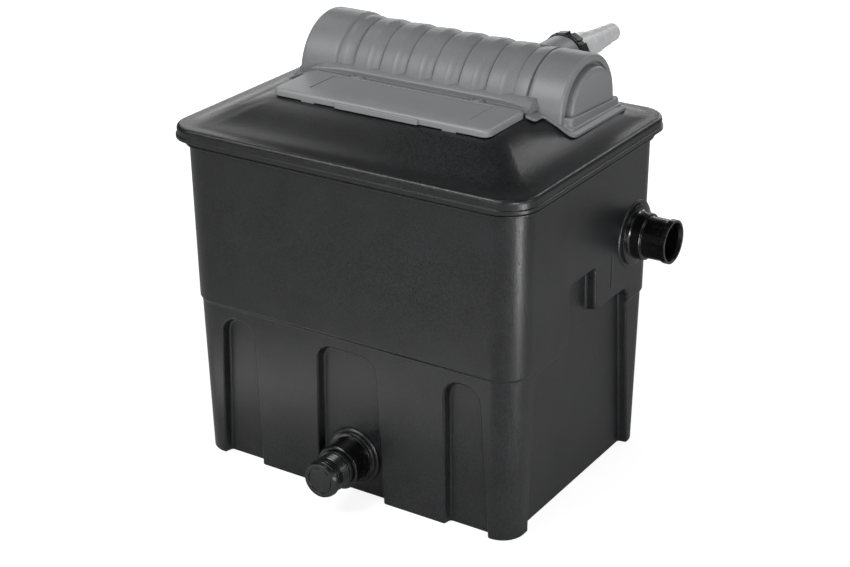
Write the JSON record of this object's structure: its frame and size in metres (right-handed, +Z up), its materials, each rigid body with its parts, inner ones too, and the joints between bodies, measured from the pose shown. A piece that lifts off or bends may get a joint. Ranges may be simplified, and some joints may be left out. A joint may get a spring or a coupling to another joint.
{
  "type": "pond filter box",
  "caption": "Flow-through pond filter box: a deep moulded tank with a side outlet and a front drain, and a lift-off lid that carries a UV clarifier under a ribbed cover with a service flap.",
  "frame": {"origin": "middle of the underside of the tank", "axes": "+Z up, +X to the side that holds the outlet, +Y to the back, where the hose tail points; the drain faces -Y"},
  "size_m": [0.5435, 0.5005, 0.538],
  "materials": {
    "black_shell": "black injection-moulded polypropylene with a fine grain",
    "grey_cover": "mid-grey moulded ABS, satin",
    "grey_panel": "mid-grey moulded ABS, satin",
    "gloss_black": "smooth black moulded PVC",
    "dark_fittings": "smooth black moulded PVC",
    "dark_grey": "dark grey moulded polypropylene",
    "clear_tail": "milky translucent moulded polyethylene",
    "seal_rubber": "black EPDM",
    "steel": "stainless steel",
    "potting": "potted iron core and windings",
    "quartz": "drawn quartz tube",
    "lamp_glass": "drawn lamp glass",
    "lamp_ceramic": "white lamp base",
    "foam_blue": "open-cell foam, coarse",
    "foam_light": "open-cell foam, medium",
    "foam_dark": "open-cell foam, fine",
    "media_net": "net bag of ceramic rings"
  },
  "bodies": {
    "base": {"tank": "black_shell", "partition": "dark_grey", "foam_frame": "dark_grey", "foam_coarse": "foam_blue", "foam_medium": "foam_light", "foam_fine": "foam_dark", "media_basket": "dark_grey", "media_bag": "media_net", "outlet_seal": "seal_rubber", "outlet_fitting": "gloss_black", "outlet_nut": "dark_fittings", "outlet_screen": "dark_fittings", "drain_seal": "seal_rubber", "drain_fitting": "gloss_black", "drain_nut": "dark_fittings"},
    "lid": {"lid": "black_shell", "lid_seal": "seal_rubber", "uv_cover": "grey_cover", "cover_screws": "steel", "hinge_pins": "steel", "ballast_box": "dark_grey", "ballast_lid": "dark_grey", "ballast_core": "potting", "uv_tube": "dark_fittings", "discharge_nut": "dark_fittings", "discharge_seal": "seal_rubber", "lamp_holder": "dark_grey", "quartz_sleeve": "quartz", "sleeve_seal": "seal_rubber", "uv_lamp": "lamp_glass", "lamp_base": "lamp_ceramic", "cable_gland": "dark_grey"},
    "flap": {"access_flap": "grey_cover", "flap_panel": "grey_panel"},
    "hose": {"hose_tail": "clear_tail", "tail_seal": "seal_rubber"},
    "nut": {"union_nut": "dark_grey"},
    "plug_slide": {"plug_seal": "seal_rubber"},
    "plug": {"drain_plug": "gloss_black"}
  },
  "joints": [
    {"name": "lid_lift", "type": "slide", "parent": "base", "child": "lid", "axis": [0, 0, 1], "range_m": [0, 0.2]},
    {"name": "flap_hinge", "type": "hinge", "parent": "lid", "child": "flap", "pos_m": [0, -0.009, 0.481], "axis": [-1, 0, 0], "range_deg": [0, 100]},
    {"name": "nut_travel", "type": "slide", "parent": "lid", "child": "hose", "axis": [0, 1, 0], "range_m": [0, 0.009]},
    {"name": "nut_turn", "type": "hinge", "parent": "hose", "child": "nut", "pos_m": [0.12, 0.14, 0.5035], "axis": [0, 1, 0], "range_deg": [0, 1080]},
    {"name": "plug_travel", "type": "slide", "parent": "base", "child": "plug_slide", "axis": [0, -1, 0], "range_m": [0, 0.0184]},
    {"name": "plug_turn", "type": "hinge", "parent": "plug_slide", "child": "plug", "pos_m": [0, -0.195, 0.05], "axis": [0, -1, 0], "range_deg": [0, 1656]}
  ],
  "couplings": [
    {"joint": "nut_travel", "follows": "nut_turn", "m_per_rad": 0.00047746},
    {"joint": "plug_travel", "follows": "plug_turn", "m_per_rad": 0.00063662}
  ]
}
